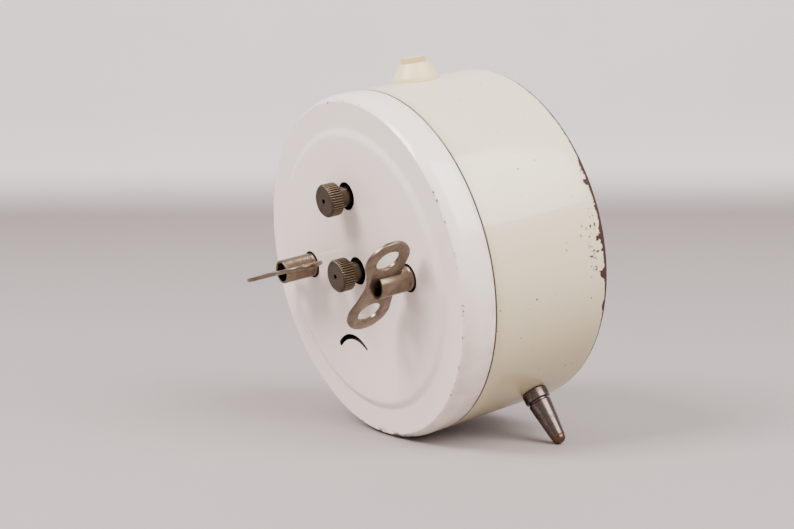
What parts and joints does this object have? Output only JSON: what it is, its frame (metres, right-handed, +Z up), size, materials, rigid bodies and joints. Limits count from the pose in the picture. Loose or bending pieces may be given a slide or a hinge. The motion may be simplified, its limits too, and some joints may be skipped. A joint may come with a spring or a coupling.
{
  "type": "wind-up alarm clock",
  "caption": "Wind-up alarm clock in a round steel drum case, leaning back on two splayed feet, with winding keys and setting knobs on its back.",
  "frame": {"origin": "on the surface it stands on, under the middle of its bounding box", "axes": "+Z up, dial faces -Y, winding keys face +Y"},
  "size_m": [0.1, 0.0751, 0.1098],
  "materials": {
    "case_paint": "cream stove enamel, chipped at the front edge",
    "cover_paint": "white stove enamel",
    "clear_glass": "clear",
    "reflector_finish": "satin",
    "dial_paint": "matt printed",
    "hand_black": "black",
    "foot_nickel": "tarnished nickel plate",
    "nut_brass": "machined",
    "button_plastic": "yellowed",
    "collar_plastic": "cream",
    "spring_steel": "blued spring steel",
    "hairspring_blue": "blued",
    "knob_nickel": "tarnished nickel plate",
    "key_nickel": "satin nickel plate",
    "plate_brass": "lacquered",
    "bell_steel": "plated",
    "wheel_brass": "stamped",
    "steel_work": "turned"
  },
  "bodies": {
    "clock": {"case": "case_paint", "back_cover": "cover_paint", "glass": "clear_glass", "reflector_ring": "reflector_finish", "dial": "dial_paint", "feet": "foot_nickel", "foot_nuts": "nut_brass", "button_collar": "collar_plastic", "button_spring": "spring_steel", "front_plate": "plate_brass", "back_plate": "plate_brass", "pillars": "wheel_brass", "pillar_nuts": "nut_brass", "bell_posts": "nut_brass", "movement_screws": "steel_work", "time_mainspring": "spring_steel", "alarm_mainspring": "spring_steel", "hairspring": "hairspring_blue", "balance_bearings": "steel_work", "alarm_bell": "bell_steel"},
    "hand_setting": {"centre_arbor": "steel_work", "cannon_pinion": "steel_work", "minute_hand": "hand_black", "time_set_knob": "knob_nickel"},
    "alarm_setting": {"alarm_set_arbor": "steel_work", "alarm_set_knob": "knob_nickel", "alarm_hand": "hand_black"},
    "minute_work": {"minute_wheel": "wheel_brass"},
    "hour_work": {"hour_wheel": "wheel_brass", "hour_hand": "hand_black"},
    "alarm_work": {"alarm_wheel": "wheel_brass"},
    "fourth": {"fourth_arbor": "steel_work", "fourth_wheel": "wheel_brass"},
    "third": {"third_arbor": "steel_work", "third_wheel": "wheel_brass"},
    "centre_train": {"centre_pinion": "steel_work", "centre_wheel": "wheel_brass"},
    "time_power": {"time_great_wheel": "wheel_brass", "time_click_spring": "spring_steel"},
    "time_winder": {"time_winding_arbor": "steel_work", "time_ratchet_wheel": "steel_work", "time_key": "key_nickel"},
    "time_click_lever": {"time_click": "steel_work"},
    "escape": {"escape_arbor": "steel_work", "escape_wheel": "wheel_brass"},
    "alarm_power": {"alarm_great_wheel": "wheel_brass", "alarm_click_spring": "spring_steel"},
    "alarm_winder": {"alarm_winding_arbor": "steel_work", "alarm_ratchet_wheel": "steel_work", "alarm_key": "key_nickel"},
    "alarm_click_lever": {"alarm_click": "steel_work"},
    "alarm_escape": {"alarm_escape_wheel": "wheel_brass"},
    "pallets": {"pallet_fork": "steel_work"},
    "balance": {"balance_staff": "steel_work", "balance_wheel": "wheel_brass"},
    "regulator": {"regulator_lever": "steel_work"},
    "hammer": {"alarm_hammer": "steel_work"},
    "stop_button": {"alarm_button": "button_plastic"},
    "stop_lever": {"alarm_stop_lever": "steel_work"},
    "release_lever": {"alarm_release_lever": "spring_steel"}
  },
  "joints": [
    {"name": "time_set", "type": "hinge", "parent": "clock", "child": "hand_setting", "pos_m": [0, -0.00799, 0.05326], "axis": [0, 0.9859, -0.1671], "continuous": true},
    {"name": "minute_wheel_spin", "type": "hinge", "parent": "clock", "child": "minute_work", "pos_m": [0, -0.02193, 0.04193], "axis": [0, 0.9859, -0.1671], "continuous": true},
    {"name": "hour_wheel_spin", "type": "hinge", "parent": "clock", "child": "hour_work", "pos_m": [0, -0.02254, 0.05573], "axis": [0, 0.9859, -0.1671], "continuous": true},
    {"name": "alarm_wheel_spin", "type": "hinge", "parent": "clock", "child": "alarm_work", "pos_m": [0, -0.01893, 0.07702], "axis": [0, 0.9859, -0.1671], "continuous": true},
    {"name": "alarm_set", "type": "hinge", "parent": "clock", "child": "alarm_setting", "pos_m": [0, -0.00438, 0.07456], "axis": [0, 0.9859, -0.1671], "continuous": true},
    {"name": "fourth_wheel_spin", "type": "hinge", "parent": "clock", "child": "fourth", "pos_m": [-0.00884, -0.01235, 0.02754], "axis": [0, 0.9859, -0.1671], "continuous": true},
    {"name": "third_wheel_spin", "type": "hinge", "parent": "clock", "child": "third", "pos_m": [0.00201, -0.01098, 0.03562], "axis": [0, 0.9859, -0.1671], "continuous": true},
    {"name": "centre_wheel_spin", "type": "hinge", "parent": "clock", "child": "centre_train", "pos_m": [0, -0.00799, 0.05326], "axis": [0, 0.9859, -0.1671], "continuous": true},
    {"name": "time_great_wheel_spin", "type": "hinge", "parent": "clock", "child": "time_power", "pos_m": [-0.0255, -0.00799, 0.05326], "axis": [0, 0.9859, -0.1671], "continuous": true, "deforming": ["time_mainspring"]},
    {"name": "escape_wheel_spin", "type": "hinge", "parent": "clock", "child": "escape", "pos_m": [-0.00198, -0.01405, 0.01754], "axis": [0, 0.9859, -0.1671], "continuous": true},
    {"name": "time_winding", "type": "hinge", "parent": "time_power", "child": "time_winder", "pos_m": [-0.0255, -0.00799, 0.05326], "axis": [0, 0.9859, -0.1671], "continuous": true},
    {"name": "time_click_swing", "type": "hinge", "parent": "time_power", "child": "time_click_lever", "pos_m": [-0.036, -0.00153, 0.05217], "axis": [0, 0.9859, -0.1671], "range_deg": [-8, 5], "stiffness_Nm_per_rad": 0.002},
    {"name": "alarm_great_wheel_spin", "type": "hinge", "parent": "clock", "child": "alarm_power", "pos_m": [0.0255, -0.00799, 0.05326], "axis": [0, 0.9859, -0.1671], "continuous": true, "deforming": ["alarm_mainspring"]},
    {"name": "alarm_escape_wheel_spin", "type": "hinge", "parent": "clock", "child": "alarm_escape", "pos_m": [0.01739, -0.00509, 0.07042], "axis": [0, 0.9859, -0.1671], "continuous": true},
    {"name": "alarm_winding", "type": "hinge", "parent": "alarm_power", "child": "alarm_winder", "pos_m": [0.0255, -0.00799, 0.05326], "axis": [0, 0.9859, -0.1671], "continuous": true},
    {"name": "alarm_click_swing", "type": "hinge", "parent": "alarm_power", "child": "alarm_click_lever", "pos_m": [0.015, -0.00153, 0.05217], "axis": [0, 0.9859, -0.1671], "range_deg": [-8, 5], "stiffness_Nm_per_rad": 0.002},
    {"name": "pallet_fork_rock", "type": "hinge", "parent": "clock", "child": "pallets", "pos_m": [0.00521, -0.01229, 0.01507], "axis": [0, 0.9859, -0.1671], "range_deg": [-5, 5]},
    {"name": "balance_swing", "type": "hinge", "parent": "clock", "child": "balance", "pos_m": [0.0087, -0.01309, 0.02319], "axis": [0, 0.9859, -0.1671], "range_deg": [-220, 220], "stiffness_Nm_per_rad": 0.00002, "deforming": ["hairspring"]},
    {"name": "regulator_turn", "type": "hinge", "parent": "clock", "child": "regulator", "pos_m": [0.0087, -0.00141, 0.02121], "axis": [0, 0.9859, -0.1671], "range_deg": [-36, 34]},
    {"name": "hammer_swing", "type": "hinge", "parent": "clock", "child": "hammer", "pos_m": [0.01422, -0.00395, 0.07712], "axis": [0, 0.9859, -0.1671], "range_deg": [-6, 6]},
    {"name": "alarm_button_press", "type": "slide", "parent": "clock", "child": "stop_button", "axis": [0, -0.1671, -0.9859], "range_m": [0, 0.0018], "stiffness_N_per_m": 600, "deforming": ["button_spring"]},
    {"name": "stop_lever_swing", "type": "hinge", "parent": "clock", "child": "stop_lever", "pos_m": [-0.012, -0.0012, 0.09065], "axis": [0, 0.9859, -0.1671], "range_deg": [0, 9]},
    {"name": "release_lever_tilt", "type": "hinge", "parent": "clock", "child": "release_lever", "pos_m": [0.0175, -0.0173, 0.07675], "axis": [0, 0.1671, 0.9859], "range_deg": [-1.2, 1.2], "stiffness_Nm_per_rad": 0.01}
  ],
  "couplings": [
    {"joint": "minute_wheel_spin", "follows": "time_set", "ratio": -0.33333},
    {"joint": "hour_wheel_spin", "follows": "time_set", "ratio": 0.083333},
    {"joint": "alarm_wheel_spin", "follows": "time_set", "ratio": -0.083333},
    {"joint": "third_wheel_spin", "follows": "fourth_wheel_spin", "ratio": -0.13333},
    {"joint": "centre_wheel_spin", "follows": "fourth_wheel_spin", "ratio": 0.016667},
    {"joint": "time_great_wheel_spin", "follows": "fourth_wheel_spin", "ratio": -0.0041667},
    {"joint": "escape_wheel_spin", "follows": "fourth_wheel_spin", "ratio": -7.5},
    {"joint": "alarm_escape_wheel_spin", "follows": "alarm_great_wheel_spin", "ratio": -5},
    {"joint": "stop_lever_swing", "follows": "alarm_button_press", "rad_per_m": 82.645}
  ]
}
